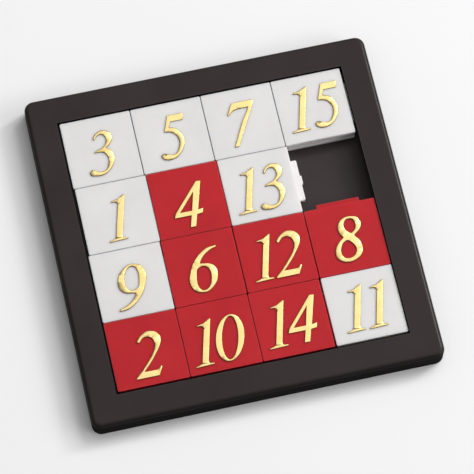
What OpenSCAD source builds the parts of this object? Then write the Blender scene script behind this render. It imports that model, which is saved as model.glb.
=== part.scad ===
// Sliding tile puzzle: fifteen numbered tiles and one free cell in a flat two-shell case.
// The tiles hold each other down by tongues and grooves, and the case holds the outer ones.
// Origin at the middle of the underside. +X is the reader's right, +Y the top row, +Z up.

/* [Tiles] */
// Distance between the centres of neighbouring cells
pitch = 20; // [18:0.1:25]
// Gap between two tiles that stand evenly spaced
tile_gap = 0.25; // [0.2:0.01:0.4]
// Height of a tile without its numeral
tile_h = 4.2; // [4:0.1:5.5]
// Plan radius of a tile's upright corners
tile_corner_r = 0.35; // [0.2:0.05:1.5]

/* [Tongues and grooves] */
// Height of the lip under a tile's groove
lip_h = 1.2; // [0.8:0.05:1.6]
// Thickness of a tongue
tongue_t = 1.1; // [0.8:0.05:1.3]
// Length of a tongue along the tile's side
tongue_l = 12; // [8:0.1:14]
// How far a tongue stands out of the tile's side
tongue_out = 1.8; // [1.2:0.05:2]
// Plan radius of a tongue's outer corners
tongue_corner_r = 0.4; // [0.2:0.05:0.6]
// Clearance above and below a tongue in its groove
tongue_clear = 0.2; // [0.15:0.01:0.25]
// Depth of a tile's groove
groove_d = 2.6; // [2.4:0.05:3.2]
// Length of the moulding gate left on the side tongue
gate_l = 2.4; // [1:0.1:4]
// How far the moulding gate stands out of the side tongue
gate_out = 0.4; // [0.1:0.05:0.5]

/* [Numerals] */
// Height of a numeral
numeral_h = 13.2; // [10:0.1:14.4]
// How far a numeral stands out of the tile
numeral_rise = 0.3; // [0.1:0.01:0.35]

/* [Case] */
// Width of the rim round the tiles
rim_w = 8.1; // [7.7:0.1:14]
// How far the rim stands above the tiles
rim_rise = 0.4; // [0.36:0.01:1.5]
// Extra room between the outer tiles and the walls
wall_clear = 0.5; // [0.25:0.01:0.6]
// Thickness of the floor under the tiles
floor_t = 1.3; // [1:0.05:3]
// Running clearance under the tiles
tile_lift = 0.1; // [0.05:0.01:0.2]
// Plan radius of the case's outer corners
case_corner_r = 2.7; // [2.2:0.1:6]
// Radius of the rounded shoulder round the top
shoulder_r = 1.35; // [0.5:0.05:1.8]
// Thickness of the case's outer wall
outer_wall_t = 2; // [1.2:0.1:2.2]
// Thickness of the walls round the well
inner_wall_t = 1.5; // [1:0.1:1.6]
// Thickness of the top of the rim over its hollow
rim_top_t = 1.6; // [1.4:0.1:1.8]
// Depth of the groove in the far and right-hand walls
wall_groove_d = 2.5; // [2.45:0.05:2.6]
// How far the rail stands out of the near and left-hand walls
rail_out = 1.6; // [1:0.05:1.8]
// Clearance round the base plate and its raised ledge
base_clear = 0.1; // [0.05:0.01:0.2]

/* [Locating pins] */
// Radius of the pins that locate the two shells
pin_r = 1; // [0.8:0.05:1]
// Radial clearance of a pin in its boss
pin_clear = 0.05; // [0.02:0.01:0.1]
// Height of a pin above the floor plate
pin_h = 2.4; // [1.5:0.1:2.5]
// Radius of the boss round a pin
boss_r = 1.8; // [1.6:0.1:2]
// Distance of each pin from the middle of its side
pin_spread = 24; // [15:1:36]

/* [Hidden] */

$fn = 48;
TILES = [1:15];
PLASTIC = [0.13, 0.12, 0.115];
IVORY = [0.87, 0.86, 0.85];
RED = [0.72, 0.16, 0.18];
GOLD = [0.93, 0.8, 0.45];
// Amount by which a cut runs past the face that it opens
past = 1;

// Where each tile stands, as rows of tile numbers from the far row; 0 is the free cell.
LAYOUT = [
    [3, 5, 7, 15],
    [1, 4, 13, 0],
    [9, 6, 12, 8],
    [2, 10, 14, 11]
];
CELLS = 4;
// How far the tile in each place has drifted to the right, as a share of the clearance at the wall.
// The row with the free cell lies loose, the row below it has spread out evenly, and the last tile
// of the near row stands nearer to the wall.
DRIFT = [
    [0, 0, 0, 0],
    [0.6, 0.6, 0.6, 0],
    [0, 0.2, 0.4, 0.6],
    [0, 0, 0, 0.6]
];
// How far all the tiles have drifted to the far side, as a share of the same clearance
FAR_DRIFT = 0.4;

tile_w = pitch - tile_gap;
groove_h = tongue_t + 2 * tongue_clear;
well_half = CELLS / 2 * pitch + wall_clear;
case_half = well_half + rim_w;
tile_z = floor_t + tile_lift;
tile_top = tile_z + tile_h;
case_h = tile_top + rim_rise;
groove_z = tile_z + lip_h;
tongue_z = groove_z + tongue_clear;
groove_top = groove_z + groove_h;
plate_half = case_half - outer_wall_t;
near_wall = well_half + inner_wall_t;
far_wall = well_half + wall_groove_d + inner_wall_t;
// Width of the plate left outside the pins
pin_margin = 0.2;
pin_at = plate_half - base_clear - pin_margin - pin_r;

// The numerals are drawn on a grid of this many units to their height, centred on the origin
GRID_H = 66;
// Points along each stretch of a drawn curve
CURVE_STEPS = 4;
// How far each printed numeral sits from its tile's centre, in hundredths of the pitch
NUMERAL_AT = [
    [-1, -5], [0, -6], [-2, -5], [-1, -7], [0, -3],
    [0, -4], [1, -4], [1, -3], [-1, -7], [-5, -7],
    [1, -3], [-2, -5], [-2, -4], [-3, -3], [0, -1]
];
// Distance between the two figures of 10 to 15, in grid units
FIGURE_STEP = [37, 31, 34, 35, 36, 38];

// A smooth run of points through p, without its last point
function curve_point(a, b, c, d, t) =
    b + (c - a) * t / 2 + (2 * a - 5 * b + 4 * c - d) * t * t / 2 + (3 * b - a - 3 * c + d) * t * t * t / 2;
function curve(p) =
    let (n = len(p), q = concat([2 * p[0] - p[1]], p, [2 * p[n - 1] - p[n - 2]]))
    n == 2 ? [p[0]] : [
        for (i = [0:n - 2]) for (k = [0:CURVE_STEPS - 1])
            curve_point(q[i], q[i + 1], q[i + 2], q[i + 3], k / CURVE_STEPS)
    ];
// An outline made of smooth runs that meet at corners; a run of one point starts a straight side
function outline(runs) = [
    for (i = [0:len(runs) - 1]) each curve(concat(runs[i], [runs[(i + 1) % len(runs)][0]]))
];
// A smooth closed outline with no corner
function loop(p) = [
    for (i = [0:len(p) - 1]) for (k = [0:CURVE_STEPS - 1])
        let (n = len(p))
        curve_point(p[(i + n - 1) % n], p[i], p[(i + 1) % n], p[(i + 2) % n], k / CURVE_STEPS)
];
// An upright oval that leans to the right
LEAN = 0.2;
function oval(half_w, half_h) = [
    for (a = [0:7.5:352.5]) [half_w * cos(a) + LEAN * half_h * sin(a), half_h * sin(a)]
];

module figure_0() {
    difference() {
        polygon(oval(20, 33));
        polygon(oval(11, 30));
    }
}

module figure_1() {
    polygon(outline([
        [[-4, 26], [6, 28], [11, 31]], [[15, 33]], [[17, 33]], [[16, 29]],
        [[2, -26], [3, -29]], [[9, -30]], [[9, -32]], [[-17, -33]], [[-17, -31]],
        [[-11, -30], [-8, -28]], [[-7, -26]], [[4, 17], [5, 21], [2, 24]], [[-3, 24]]
    ]));
}

module figure_2() {
    polygon(outline([
        [[-8, 17]], [[-10, 18]],
        [[-11, 20], [-7, 25], [-2, 29], [4, 32], [10, 32], [16, 30], [21, 24], [22, 18],
         [20, 11], [15, 3], [3, -12]],
        [[-9, -24]], [[7, -24], [11, -23]], [[14, -19]], [[16, -20]], [[10, -33]], [[-21, -33]],
        [[-22, -31], [-10, -20], [1, -8], [8, 1], [12, 10], [12, 17], [9, 22], [4, 24],
         [-2, 23], [-6, 19]]
    ]));
}

module figure_3() {
    polygon(outline([
        [[-5, 20]],
        [[-7, 22], [-3, 28], [3, 32], [10, 33], [17, 29], [20, 22], [18, 15], [13, 9]],
        [[8, 6], [14, 2], [17, -5], [17, -13], [13, -21], [6, -29], [-3, -33], [-12, -33],
         [-19, -31], [-20, -26], [-16, -23], [-10, -26], [-3, -28], [4, -25], [8, -17],
         [9, -9], [6, -2], [0, 1], [-7, 1]],
        [[-9, 2], [-3, 5], [5, 8], [10, 14], [11, 21], [8, 26], [3, 27], [-1, 25]]
    ]));
}

module figure_4() {
    difference() {
        polygon(outline([
            [[17, 33]], [[23, 32]], [[11, -9]], [[18, -8]], [[16, -15]], [[8, -16]],
            [[3, -33]], [[-5, -33]], [[0, -16]], [[-23, -16]], [[-23, -13], [-20, -8]]
        ]));
        polygon([[-14, -9], [9, 17], [2, -9]]);
    }
}

module figure_5() {
    polygon(outline([
        [[-10, 9]], [[-1, 33]], [[21, 33]], [[19, 23]], [[1, 23]],
        [[-3, 15], [3, 14], [9, 10], [13, 3], [15, -5], [14, -13], [10, -21], [4, -28],
         [-3, -32], [-12, -33], [-19, -30], [-21, -25], [-17, -22], [-12, -24], [-5, -26],
         [1, -24], [6, -16], [8, -8], [7, -1], [3, 5], [-3, 8]]
    ]));
}

module figure_6() {
    difference() {
        polygon(outline([
            [[23, 32]],
            [[22, 29], [13, 26], [5, 21], [-1, 15]],
            [[-4, 10], [2, 9], [8, 8], [14, 4], [17, -2], [17, -9], [14, -19], [7, -27],
             [-1, -32], [-9, -32], [-17, -29], [-22, -21], [-23, -12], [-20, -2], [-15, 9],
             [-8, 18], [1, 26], [11, 31]]
        ]));
        polygon(loop([
            [-2, 5], [3, 4], [7, -1], [8, -8], [6, -18], [1, -26], [-5, -29], [-10, -27],
            [-13, -19], [-12, -8], [-9, 2]
        ]));
    }
}

module figure_7() {
    polygon(outline([
        [[-20, 16]], [[-12, 31]], [[-9, 33]], [[20, 33]], [[19, 28]], [[16, 22]],
        [[-14, -33]], [[-20, -33]], [[-18, -29]], [[-1, 4]], [[6, 14]],
        [[11, 23], [0, 23], [-8, 22], [-14, 19]], [[-18, 15]]
    ]));
}

module figure_8() {
    difference() {
        polygon(outline([
            [[9, 4], [14, -3], [16, -10], [16, -19], [11, -27], [2, -32], [-7, -33], [-16, -30],
             [-21, -24], [-22, -17], [-19, -8], [-13, -1]],
            [[-6, 4], [-10, 10], [-11, 18], [-8, 26], [-2, 31], [6, 33], [13, 32], [18, 30],
             [21, 25], [22, 20], [19, 12]]
        ]));
        polygon(outline([
            [[6, 8], [2, 11], [-1, 15], [-2, 21], [1, 27], [6, 29], [11, 28], [14, 23],
             [13, 15], [10, 11]]
        ]));
        polygon(outline([
            [[-2, -1], [3, -5], [7, -12], [7, -19], [2, -25], [-5, -27], [-11, -25],
             [-14, -19], [-13, -12], [-9, -5]]
        ]));
    }
}

module figure(d) {
    if (d == 0) figure_0();
    if (d == 1) figure_1();
    if (d == 2) figure_2();
    if (d == 3) figure_3();
    if (d == 4) figure_4();
    if (d == 5) figure_5();
    if (d == 6) figure_6();
    if (d == 7) figure_7();
    if (d == 8) figure_8();
    if (d == 9) rotate(180) figure_6();
}

// Column and row of tile n, and its place in the case
function cell_of(n) = [for (row = [0:CELLS - 1]) for (col = [0:CELLS - 1]) if (LAYOUT[row][col] == n) [col, row]][0];
function tile_at(n) =
    let (cell = cell_of(n), middle = (CELLS - 1) / 2, drift = [DRIFT[cell[1]][cell[0]], FAR_DRIFT] * wall_clear)
    [(cell[0] - middle) * pitch + drift[0], (middle - cell[1]) * pitch + drift[1], tile_z];

// A square outline with round corners, centred on the origin
module rounded_square(half, r) {
    square([2 * half, 2 * (half - r)], center = true);
    square([2 * (half - r), 2 * half], center = true);
    for (x = [-1, 1]) for (y = [-1, 1])
        translate([x * (half - r), y * (half - r)]) circle(r);
}

// The tongue's outline, rooted at x = 0 and standing out along +X
module tongue_outline() {
    translate([-tile_corner_r, -tongue_l / 2]) square([tile_corner_r + tongue_out - tongue_corner_r, tongue_l]);
    translate([0, tongue_corner_r - tongue_l / 2]) square([tongue_out, tongue_l - 2 * tongue_corner_r]);
    for (y = [-1, 1])
        translate([tongue_out - tongue_corner_r, y * (tongue_l / 2 - tongue_corner_r)]) circle(tongue_corner_r);
}

module tongue() {
    translate([tile_w / 2, 0, lip_h + tongue_clear]) linear_extrude(tongue_t) tongue_outline();
}

module gate() {
    translate([tile_w / 2 + tongue_out - past, -gate_l / 2, lip_h + tongue_clear])
        cube([past + gate_out, gate_l, tongue_t]);
}

module tile_groove() {
    translate([-tile_w / 2 - past, -tile_w / 2 - past, lip_h])
        cube([past + groove_d, tile_w + 2 * past, groove_h]);
}

// One tile with its underside at z = 0: tongues on the far and right-hand sides, grooves on the others
module tile_body() {
    difference() {
        linear_extrude(tile_h) rounded_square(tile_w / 2, tile_corner_r);
        tile_groove();
        mirror([1, -1, 0]) tile_groove();
    }
    tongue();
    mirror([1, -1, 0]) tongue();
    gate();
}

module tile(n) {
    color(n % 2 == 0 ? RED : IVORY) translate(tile_at(n)) tile_body();
}

module numeral_outline(n) {
    if (n < 10) figure(n);
    else for (i = [0, 1])
        translate([(i - 0.5) * FIGURE_STEP[n - 10], 0]) figure(i == 0 ? 1 : n - 10);
}

module numeral(n) {
    offset_xy = NUMERAL_AT[n - 1] * pitch / 100;
    color(GOLD)
        translate(tile_at(n) + [offset_xy[0], offset_xy[1], tile_h])
            linear_extrude(numeral_rise) scale(numeral_h / GRID_H) numeral_outline(n);
}

// A block with upright round corners and a rounded shoulder round its top
module shouldered_block(half, corner_r, edge_r, h) {
    inner_r = corner_r - edge_r;
    straight = half - corner_r;
    linear_extrude(h - edge_r) rounded_square(half, corner_r);
    linear_extrude(h) rounded_square(half - edge_r, inner_r);
    for (a = [0:90:270]) rotate(a) {
        translate([half - edge_r, straight, h - edge_r])
            rotate([90, 0, 0]) linear_extrude(2 * straight) shoulder_quarter(edge_r);
        translate([straight, straight, h - edge_r])
            rotate_extrude() shoulder_corner(inner_r, edge_r);
    }
}

module shoulder_quarter(edge_r) {
    intersection() {
        circle(edge_r);
        square(edge_r);
    }
}

module shoulder_corner(inner_r, edge_r) {
    translate([inner_r, 0]) shoulder_quarter(edge_r);
    square([inner_r, edge_r]);
}

// Places its children at each of the eight locating pins
module at_pins() {
    for (a = [0:90:270]) rotate(a) for (s = [-1, 1])
        translate([pin_at, s * pin_spread, 0]) children();
}

// The room for the base plate and the channel under the rim
module rim_hollow() {
    translate([0, 0, -past]) linear_extrude(past + floor_t)
        rounded_square(plate_half, case_corner_r - outer_wall_t);
    translate([0, 0, -past]) linear_extrude(past + case_h - rim_top_t) difference() {
        rounded_square(plate_half, case_corner_r - outer_wall_t);
        translate([-near_wall, -near_wall]) square(near_wall + far_wall);
    }
}

// The well for the tiles, with the grooves in its far and right-hand walls
module well() {
    translate([-well_half, -well_half, -past])
        cube([2 * well_half + wall_groove_d, 2 * well_half + wall_groove_d, past + groove_top]);
    translate([-well_half, -well_half, -past])
        cube([2 * well_half, 2 * well_half, 2 * past + case_h]);
}

// The rail that holds down the tiles along the left-hand wall
module rail() {
    translate([-well_half - past, -well_half - past, tongue_z])
        cube([past + rail_out, 2 * well_half + past, tongue_t]);
}

// The shell with its hollow rim and the bosses in it, before the well is cut
module hollow_rim() {
    difference() {
        shouldered_block(case_half, case_corner_r, shoulder_r, case_h);
        rim_hollow();
    }
    at_pins() translate([0, 0, floor_t]) cylinder(h = case_h - rim_top_t - floor_t, r = boss_r);
}

module frame() {
    color(PLASTIC) difference() {
        union() {
            difference() {
                hollow_rim();
                well();
            }
            rail();
            mirror([1, -1, 0]) rail();
        }
        at_pins() translate([0, 0, floor_t - past])
            cylinder(h = past + pin_h + base_clear, r = pin_r + pin_clear);
    }
}

// The raised ledge under the wall grooves, along the right-hand wall
module ledge() {
    side = well_half + wall_groove_d - base_clear;
    translate([well_half, -well_half + base_clear, 0])
        cube([wall_groove_d - base_clear, side + well_half - base_clear, groove_z]);
}

module base_plate() {
    color(PLASTIC) {
        linear_extrude(floor_t)
            rounded_square(plate_half - base_clear, case_corner_r - outer_wall_t);
        ledge();
        mirror([1, -1, 0]) ledge();
        at_pins() cylinder(h = floor_t + pin_h, r = pin_r);
    }
}

frame();
base_plate();
for (n = TILES) {
    tile(n);
    numeral(n);
}
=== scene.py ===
"""Looks of the sliding tile puzzle: softened edges, materials, floor, light and camera."""

import math

import bpy
from mathutils import Matrix, Vector


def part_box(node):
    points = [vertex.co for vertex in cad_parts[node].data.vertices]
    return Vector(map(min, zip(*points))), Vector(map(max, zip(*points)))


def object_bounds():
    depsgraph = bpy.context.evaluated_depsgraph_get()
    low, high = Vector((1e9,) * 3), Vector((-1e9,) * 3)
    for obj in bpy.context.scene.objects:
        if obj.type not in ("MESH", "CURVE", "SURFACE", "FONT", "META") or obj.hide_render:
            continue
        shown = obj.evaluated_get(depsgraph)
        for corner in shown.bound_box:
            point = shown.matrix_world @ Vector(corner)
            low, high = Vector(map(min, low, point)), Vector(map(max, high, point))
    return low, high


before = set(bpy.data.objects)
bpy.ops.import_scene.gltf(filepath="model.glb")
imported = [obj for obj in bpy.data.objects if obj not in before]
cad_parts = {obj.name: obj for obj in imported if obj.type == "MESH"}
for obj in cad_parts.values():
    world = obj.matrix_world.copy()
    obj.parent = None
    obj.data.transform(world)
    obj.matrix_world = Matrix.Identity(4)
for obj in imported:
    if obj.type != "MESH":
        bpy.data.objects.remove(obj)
cad_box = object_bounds()

MM = 0.001
TILE_COUNT = 15
CASE_WIDTH = cad_box[1].x - cad_box[0].x

# Where the camera stands, as direction() takes it, and how it is rolled, in degrees
CAMERA_AZIMUTH = 194.006
CAMERA_ELEVATION = 68.862
CAMERA_ROLL = 1.4535
# How far away it stands, and the place on the tiles' faces that it aims at, in widths of the case
CAMERA_DISTANCE = 8.1424
CAMERA_AIM = (0.0094, -0.0325)
# Its focal length in millimetres, and how far it sees in metres
CAMERA_LENS = 219.9
CAMERA_REACH = 100

# Half the floor's width, in widths of the case
FLOOR_REACH = 12

# How far the edges are rounded, and in how many steps
CASE_ROUND = 0.22 * MM
TILE_ROUND = 0.08 * MM
NUMERAL_ROUND = 0.13 * MM
MOULDING_STEPS = 3
NUMERAL_STEPS = 2
# Edges that turn by less than this stay as they are
ROUND_ANGLE = math.radians(30)
# Corners of neighbouring faces closer than this are one corner
WELD_DISTANCE = 0.004 * MM

# Case plastic: the patches on its level faces, its upright faces, painted darker as painted shade, and
# its rubbed edges, which also carry a painted highlight
RIM_DARK = (0.0310, 0.0235, 0.0225)
RIM_LIGHT = (0.0375, 0.0290, 0.0280)
# The plate's copy of the plastic is painted lighter: painted light on the floor of the well
PLATE_DARK = (0.0400, 0.0310, 0.0305)
PLATE_LIGHT = (0.0490, 0.0390, 0.0385)
CASE_UPRIGHT_SHADE = (0.0060, 0.0048, 0.0045)
CASE_WEAR_AND_HIGHLIGHT = (0.110, 0.098, 0.094)

# Tile plastic: its clouds, its edges painted lighter as a painted highlight, and how far each colour
# of light spreads inside it
IVORY_LIGHT = (0.83, 0.82, 0.81)
IVORY_DARK = (0.79, 0.775, 0.765)
IVORY_EDGE_HIGHLIGHT = (0.86, 0.86, 0.86)
IVORY_GLOW = (1.0, 0.9, 0.8)
RED_LIGHT = (0.57, 0.024, 0.032)
RED_DARK = (0.52, 0.020, 0.027)
RED_EDGE_HIGHLIGHT = (0.68, 0.06, 0.07)
RED_GLOW = (1.0, 0.15, 0.12)

# Gold: the clouds on the numerals' faces, and the sides of their strokes, painted dark as painted
# shade
GOLD_LIGHT = (1.0, 0.77, 0.34)
GOLD_DARK = (0.93, 0.69, 0.27)
GOLD_SIDE_SHADE = (0.20, 0.125, 0.04)

# Floor: its faint patches
FLOOR_LIGHT = (0.96, 0.96, 0.96)
FLOOR_DARK = (0.94, 0.94, 0.94)

# Noise lies mostly between these
NOISE_LOW, NOISE_HIGH = 0.3, 0.7
# How well a rounded normal agrees with its face, from where an edge starts to tell to the edge itself
EDGE_START, EDGE_FULL = 0.995, 0.86


# ---------------------------------------------------------------- small helpers for node trees

class Tree:
    """A material's node tree with short ways to add and link nodes."""

    def __init__(self, name):
        self.material = bpy.data.materials.new(name)
        self.material.use_nodes = True
        self.tree = self.material.node_tree
        self.tree.nodes.clear()
        self.shader = self.add("ShaderNodeBsdfPrincipled")
        output = self.add("ShaderNodeOutputMaterial")
        self.link(self.shader.outputs["BSDF"], output.inputs["Surface"])
        self.place = self.add("ShaderNodeTexCoord").outputs["Object"]

    def add(self, kind, **settings):
        node = self.tree.nodes.new(kind)
        for name, value in settings.items():
            setattr(node, name, value)
        return node

    def link(self, source, target):
        self.tree.links.new(source, target)

    def noise(self, cell, detail=3.0):
        """Noise whose features are about cell metres across."""
        node = self.add("ShaderNodeTexNoise")
        self.link(self.place, node.inputs["Vector"])
        node.inputs["Scale"].default_value = 1 / cell
        node.inputs["Detail"].default_value = detail
        return node.outputs["Fac"]

    def ramp(self, source, low, high, out_low=0.0, out_high=1.0):
        """Maps source from low..high to out_low..out_high and clamps it."""
        node = self.add("ShaderNodeMapRange")
        self.link(source, node.inputs["Value"])
        node.inputs["From Min"].default_value = low
        node.inputs["From Max"].default_value = high
        node.inputs["To Min"].default_value = out_low
        node.inputs["To Max"].default_value = out_high
        return node.outputs["Result"]

    def clouds(self, cell, out_low=0.0, out_high=1.0, detail=3.0):
        """Soft patches about cell metres across that run from out_low to out_high."""
        return self.ramp(self.noise(cell, detail), NOISE_LOW, NOISE_HIGH, out_low, out_high)

    def calculate(self, operation, a, b):
        node = self.add("ShaderNodeMath", operation=operation)
        for socket, value in zip(node.inputs, (a, b)):
            if isinstance(value, (int, float)):
                socket.default_value = value
            else:
                self.link(value, socket)
        return node.outputs["Value"]

    def mix(self, factor, a, b):
        """Colour a where factor is 0 and colour b where it is 1."""
        node = self.add("ShaderNodeMix", data_type="RGBA")
        self.link(factor, node.inputs["Factor"])
        for name, value in (("A", a), ("B", b)):
            socket = next(s for s in node.inputs if s.name == name and s.type == "RGBA")
            if isinstance(value, tuple):
                socket.default_value = (*value, 1)
            else:
                self.link(value, socket)
        return next(s for s in node.outputs if s.type == "RGBA")

    def edges(self, radius):
        """1 along edges, falling to 0 about radius metres away from them."""
        rounded = self.add("ShaderNodeBevel", samples=6)
        rounded.inputs["Radius"].default_value = radius
        facing = self.add("ShaderNodeNewGeometry").outputs["True Normal"]
        dot = self.add("ShaderNodeVectorMath", operation="DOT_PRODUCT")
        self.link(rounded.outputs["Normal"], dot.inputs[0])
        self.link(facing, dot.inputs[1])
        return self.ramp(dot.outputs["Value"], EDGE_START, EDGE_FULL)

    def level(self, low, high):
        """Goes from 0 at low to 1 at high, where an upright face counts as 0 and a level one as 1."""
        axis = self.add("ShaderNodeSeparateXYZ")
        self.link(self.add("ShaderNodeNewGeometry").outputs["Normal"], axis.inputs[0])
        return self.ramp(self.calculate("ABSOLUTE", axis.outputs["Z"], 0.0), low, high)

    def bump(self, height, depth, strength):
        """Bumps that are depth metres deep where height runs from 0 to 1."""
        node = self.add("ShaderNodeBump")
        node.inputs["Strength"].default_value = strength
        node.inputs["Distance"].default_value = depth
        self.link(height, node.inputs["Height"])
        self.link(node.outputs["Normal"], self.shader.inputs["Normal"])

    def set(self, **values):
        """Links outputs to the shader's sockets, and sets plain numbers and colours on them."""
        for name, value in values.items():
            socket = self.shader.inputs[name.replace("_", " ")]
            if hasattr(value, "is_output"):
                self.link(value, socket)
            else:
                socket.default_value = value


# ---------------------------------------------------------------- materials

def case_plastic(name, dark, light):
    """Black-brown moulded plastic with a fine satin grain, painted shade on its upright faces, and
    edges rubbed lighter that also carry a painted highlight.
    """
    t = Tree(name)
    patches = t.clouds(18 * MM, detail=4)
    # Upright faces take a much darker colour: painted shade on the case's sides
    body = t.mix(t.level(0.55, 0.97), CASE_UPRIGHT_SHADE, t.mix(patches, dark, light))
    # Edges rubbed lighter in patches: partly wear, partly a painted highlight
    rubbing = t.ramp(t.noise(4 * MM), 0.35, 0.65, 0.2, 0.8)
    wear_and_highlight = t.calculate("MULTIPLY", t.edges(0.3 * MM), rubbing)
    # Fully matt on upright faces, and smoother on the rounded shoulder than on level ones
    matt = t.calculate("ADD", t.clouds(7 * MM, 0.40, 0.48), t.level(0.3, 0.05))
    shoulder = t.calculate("MULTIPLY", t.level(0.3, 0.6), t.level(0.995, 0.95))
    matt = t.calculate("SUBTRACT", matt, t.calculate("MULTIPLY", shoulder, 0.2))
    t.set(Base_Color=t.mix(wear_and_highlight, body, CASE_WEAR_AND_HIGHLIGHT), Roughness=matt, Specular_IOR_Level=0.11)
    t.bump(t.noise(0.35 * MM, detail=2), 0.012 * MM, 0.5)
    return t.material


def tile_plastic(name, light, dark, edge, glow):
    """Moulded tile plastic: faintly clouded, with a painted highlight along its edges, soft gloss,
    with a little fine texture.
    """
    t = Tree(name)
    body = t.mix(t.clouds(11 * MM), dark, light)
    # Edges painted lighter: a painted highlight
    t.set(Base_Color=t.mix(t.edges(0.25 * MM), body, edge))
    t.set(Roughness=t.clouds(3 * MM, 0.28, 0.38), Specular_IOR_Level=0.12)
    t.set(Subsurface_Weight=0.8, Subsurface_Radius=glow, Subsurface_Scale=1.5 * MM)
    t.bump(t.noise(0.8 * MM, detail=2), 0.006 * MM, 0.4)
    return t.material


def numeral_gold():
    """Polished pale gold, with painted shade on the sides of the strokes."""
    t = Tree("numeral_gold")
    face = t.mix(t.clouds(2.5 * MM), GOLD_DARK, GOLD_LIGHT)
    # Sides of the strokes painted dark: painted shade
    t.set(Base_Color=t.mix(t.level(0.88, 0.99), GOLD_SIDE_SHADE, face))
    t.set(Roughness=t.clouds(1.2 * MM, 0.24, 0.34), Metallic=1.0)
    t.bump(t.noise(0.5 * MM, detail=2), 0.004 * MM, 0.4)
    return t.material


def floor_material():
    """Matt white sweep with a barely visible unevenness."""
    t = Tree("pale_floor")
    t.set(Base_Color=t.mix(t.noise(60 * MM), FLOOR_DARK, FLOOR_LIGHT))
    t.set(Roughness=0.9, Specular_IOR_Level=0.1)
    return t.material


# ---------------------------------------------------------------- softened edges

def weld_nodes():
    """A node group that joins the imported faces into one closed, smooth-shaded skin."""
    group = bpy.data.node_groups.new("weld_faces", "GeometryNodeTree")
    group.interface.new_socket("Geometry", in_out="INPUT", socket_type="NodeSocketGeometry")
    group.interface.new_socket("Geometry", in_out="OUTPUT", socket_type="NodeSocketGeometry")
    start = group.nodes.new("NodeGroupInput")
    merge = group.nodes.new("GeometryNodeMergeByDistance")
    merge.inputs["Distance"].default_value = WELD_DISTANCE
    drop = group.nodes.new("GeometryNodeRemoveAttribute")
    drop.inputs["Name"].default_value = "custom_normal"
    smooth = group.nodes.new("GeometryNodeSetShadeSmooth")
    end = group.nodes.new("NodeGroupOutput")
    chain = (start, merge, drop, smooth, end)
    for first, second in zip(chain, chain[1:]):
        group.links.new(first.outputs[0], second.inputs[0])
    return group


def soften(node, group, width, steps, miter="MITER_SHARP", clamp=True):
    """Welds a CAD node's faces and rounds its edges, by modifiers only."""
    weld = node.modifiers.new("weld", "NODES")
    weld.node_group = group
    rounding = node.modifiers.new("round", "BEVEL")
    rounding.width = width
    rounding.segments = steps
    rounding.limit_method = "ANGLE"
    rounding.angle_limit = ROUND_ANGLE
    rounding.use_clamp_overlap = clamp
    rounding.miter_outer = miter
    shade = node.modifiers.new("shade", "WEIGHTED_NORMAL")
    shade.keep_sharp = False


# ---------------------------------------------------------------- the CAD nodes

def dress(node, material):
    node.data.materials.clear()
    node.data.materials.append(material)


def finish_case(group):
    """The two shells of the case."""
    rim = case_plastic("case_plastic", RIM_DARK, RIM_LIGHT)
    plate = case_plastic("plate_plastic_painted_lighter", PLATE_DARK, PLATE_LIGHT)
    for name, plastic in (("frame", rim), ("base_plate", plate)):
        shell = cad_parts[name]
        dress(shell, plastic)
        soften(shell, group, CASE_ROUND, MOULDING_STEPS)


def finish_tiles(group):
    """The odd tiles in ivory, the even ones in red, and a gold numeral on each."""
    gold = numeral_gold()
    ivory = tile_plastic("tile_ivory", IVORY_LIGHT, IVORY_DARK, IVORY_EDGE_HIGHLIGHT, IVORY_GLOW)
    red = tile_plastic("tile_red", RED_LIGHT, RED_DARK, RED_EDGE_HIGHLIGHT, RED_GLOW)
    for n in range(1, TILE_COUNT + 1):
        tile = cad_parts[f"tile_{n}"]
        dress(tile, ivory if n % 2 else red)
        soften(tile, group, TILE_ROUND, MOULDING_STEPS, miter="MITER_ARC")
        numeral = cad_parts[f"numeral_{n}"]
        dress(numeral, gold)
        soften(numeral, group, NUMERAL_ROUND, NUMERAL_STEPS, clamp=False)


# ---------------------------------------------------------------- floor, light and camera

def make_floor():
    half = FLOOR_REACH * CASE_WIDTH
    mesh = bpy.data.meshes.new("floor")
    corners = [(-half, -half, 0), (half, -half, 0), (half, half, 0), (-half, half, 0)]
    mesh.from_pydata(corners, [], [(0, 1, 2, 3)])
    floor = bpy.data.objects.new("floor", mesh)
    bpy.context.scene.collection.objects.link(floor)
    floor.location.z = cad_box[0].z
    mesh.materials.append(floor_material())


def direction(azimuth, elevation):
    """Unit vector to a place at this compass azimuth (0 is +Y, 90 is +X) and elevation, in degrees."""
    a, e = math.radians(azimuth), math.radians(elevation)
    return Vector((math.sin(a) * math.cos(e), math.cos(a) * math.cos(e), math.sin(e)))


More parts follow.
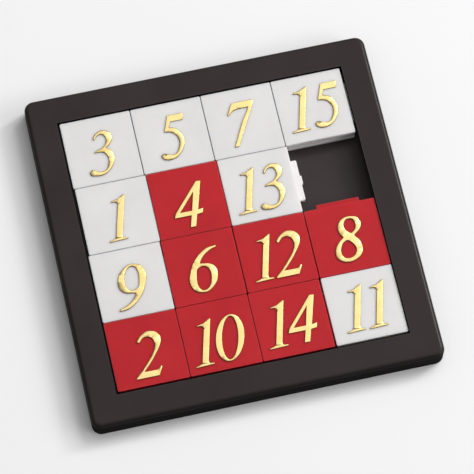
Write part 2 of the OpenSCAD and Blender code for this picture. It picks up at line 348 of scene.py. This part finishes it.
def softbox(name, azimuth, elevation, distance, size, radiance):
    """A rectangular soft light that faces the puzzle and has the same brightness at any distance."""
    light = bpy.data.lights.new(name, "AREA")
    light.shape = "RECTANGLE"
    light.size, light.size_y = size
    light.energy = radiance * math.pi * size[0] * size[1]
    lamp = bpy.data.objects.new(name, light)
    bpy.context.scene.collection.objects.link(lamp)
    toward = direction(azimuth, elevation)
    lamp.location = toward * distance
    lamp.rotation_euler = toward.to_track_quat("Z", "Y").to_euler()


def make_lights():
    """Faint light from all sides, and four softboxes with distances and sizes in metres."""
    world = bpy.data.worlds.new("studio")
    bpy.context.scene.world = world
    world.use_nodes = True
    background = world.node_tree.nodes["Background"]
    background.inputs["Color"].default_value = (1, 1, 1, 1)
    background.inputs["Strength"].default_value = 0.27
    softbox("key", azimuth=112, elevation=28, distance=2.4, size=(2.0, 0.8), radiance=4.6)
    softbox("window", azimuth=60, elevation=45, distance=3.0, size=(1.7, 1.3), radiance=5.8)
    softbox("strip", azimuth=67, elevation=30, distance=2.4, size=(0.4, 0.4), radiance=26.0)
    softbox("overhead", azimuth=25, elevation=66, distance=1.6, size=(1.1, 1.1), radiance=0.9)


def make_camera():
    """A long lens that looks at a place on the tiles' faces from in front and above."""
    data = bpy.data.cameras.new("camera")
    data.lens = CAMERA_LENS
    data.clip_end = CAMERA_REACH
    camera = bpy.data.objects.new("camera", data)
    bpy.context.scene.collection.objects.link(camera)
    tile_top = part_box("tile_1")[1].z
    aim = Vector((CAMERA_AIM[0] * CASE_WIDTH, CAMERA_AIM[1] * CASE_WIDTH, tile_top))
    back = direction(CAMERA_AZIMUTH, CAMERA_ELEVATION)
    roll = Matrix.Rotation(math.radians(CAMERA_ROLL), 3, "Z").to_quaternion()
    camera.location = aim + back * CAMERA_DISTANCE * CASE_WIDTH
    camera.rotation_euler = (back.to_track_quat("Z", "Y") @ roll).to_euler()
    bpy.context.scene.camera = camera


make_camera()
make_floor()
make_lights()
weld_group = weld_nodes()
finish_case(weld_group)
finish_tiles(weld_group)
bpy.context.scene.view_settings.view_transform = "Standard"
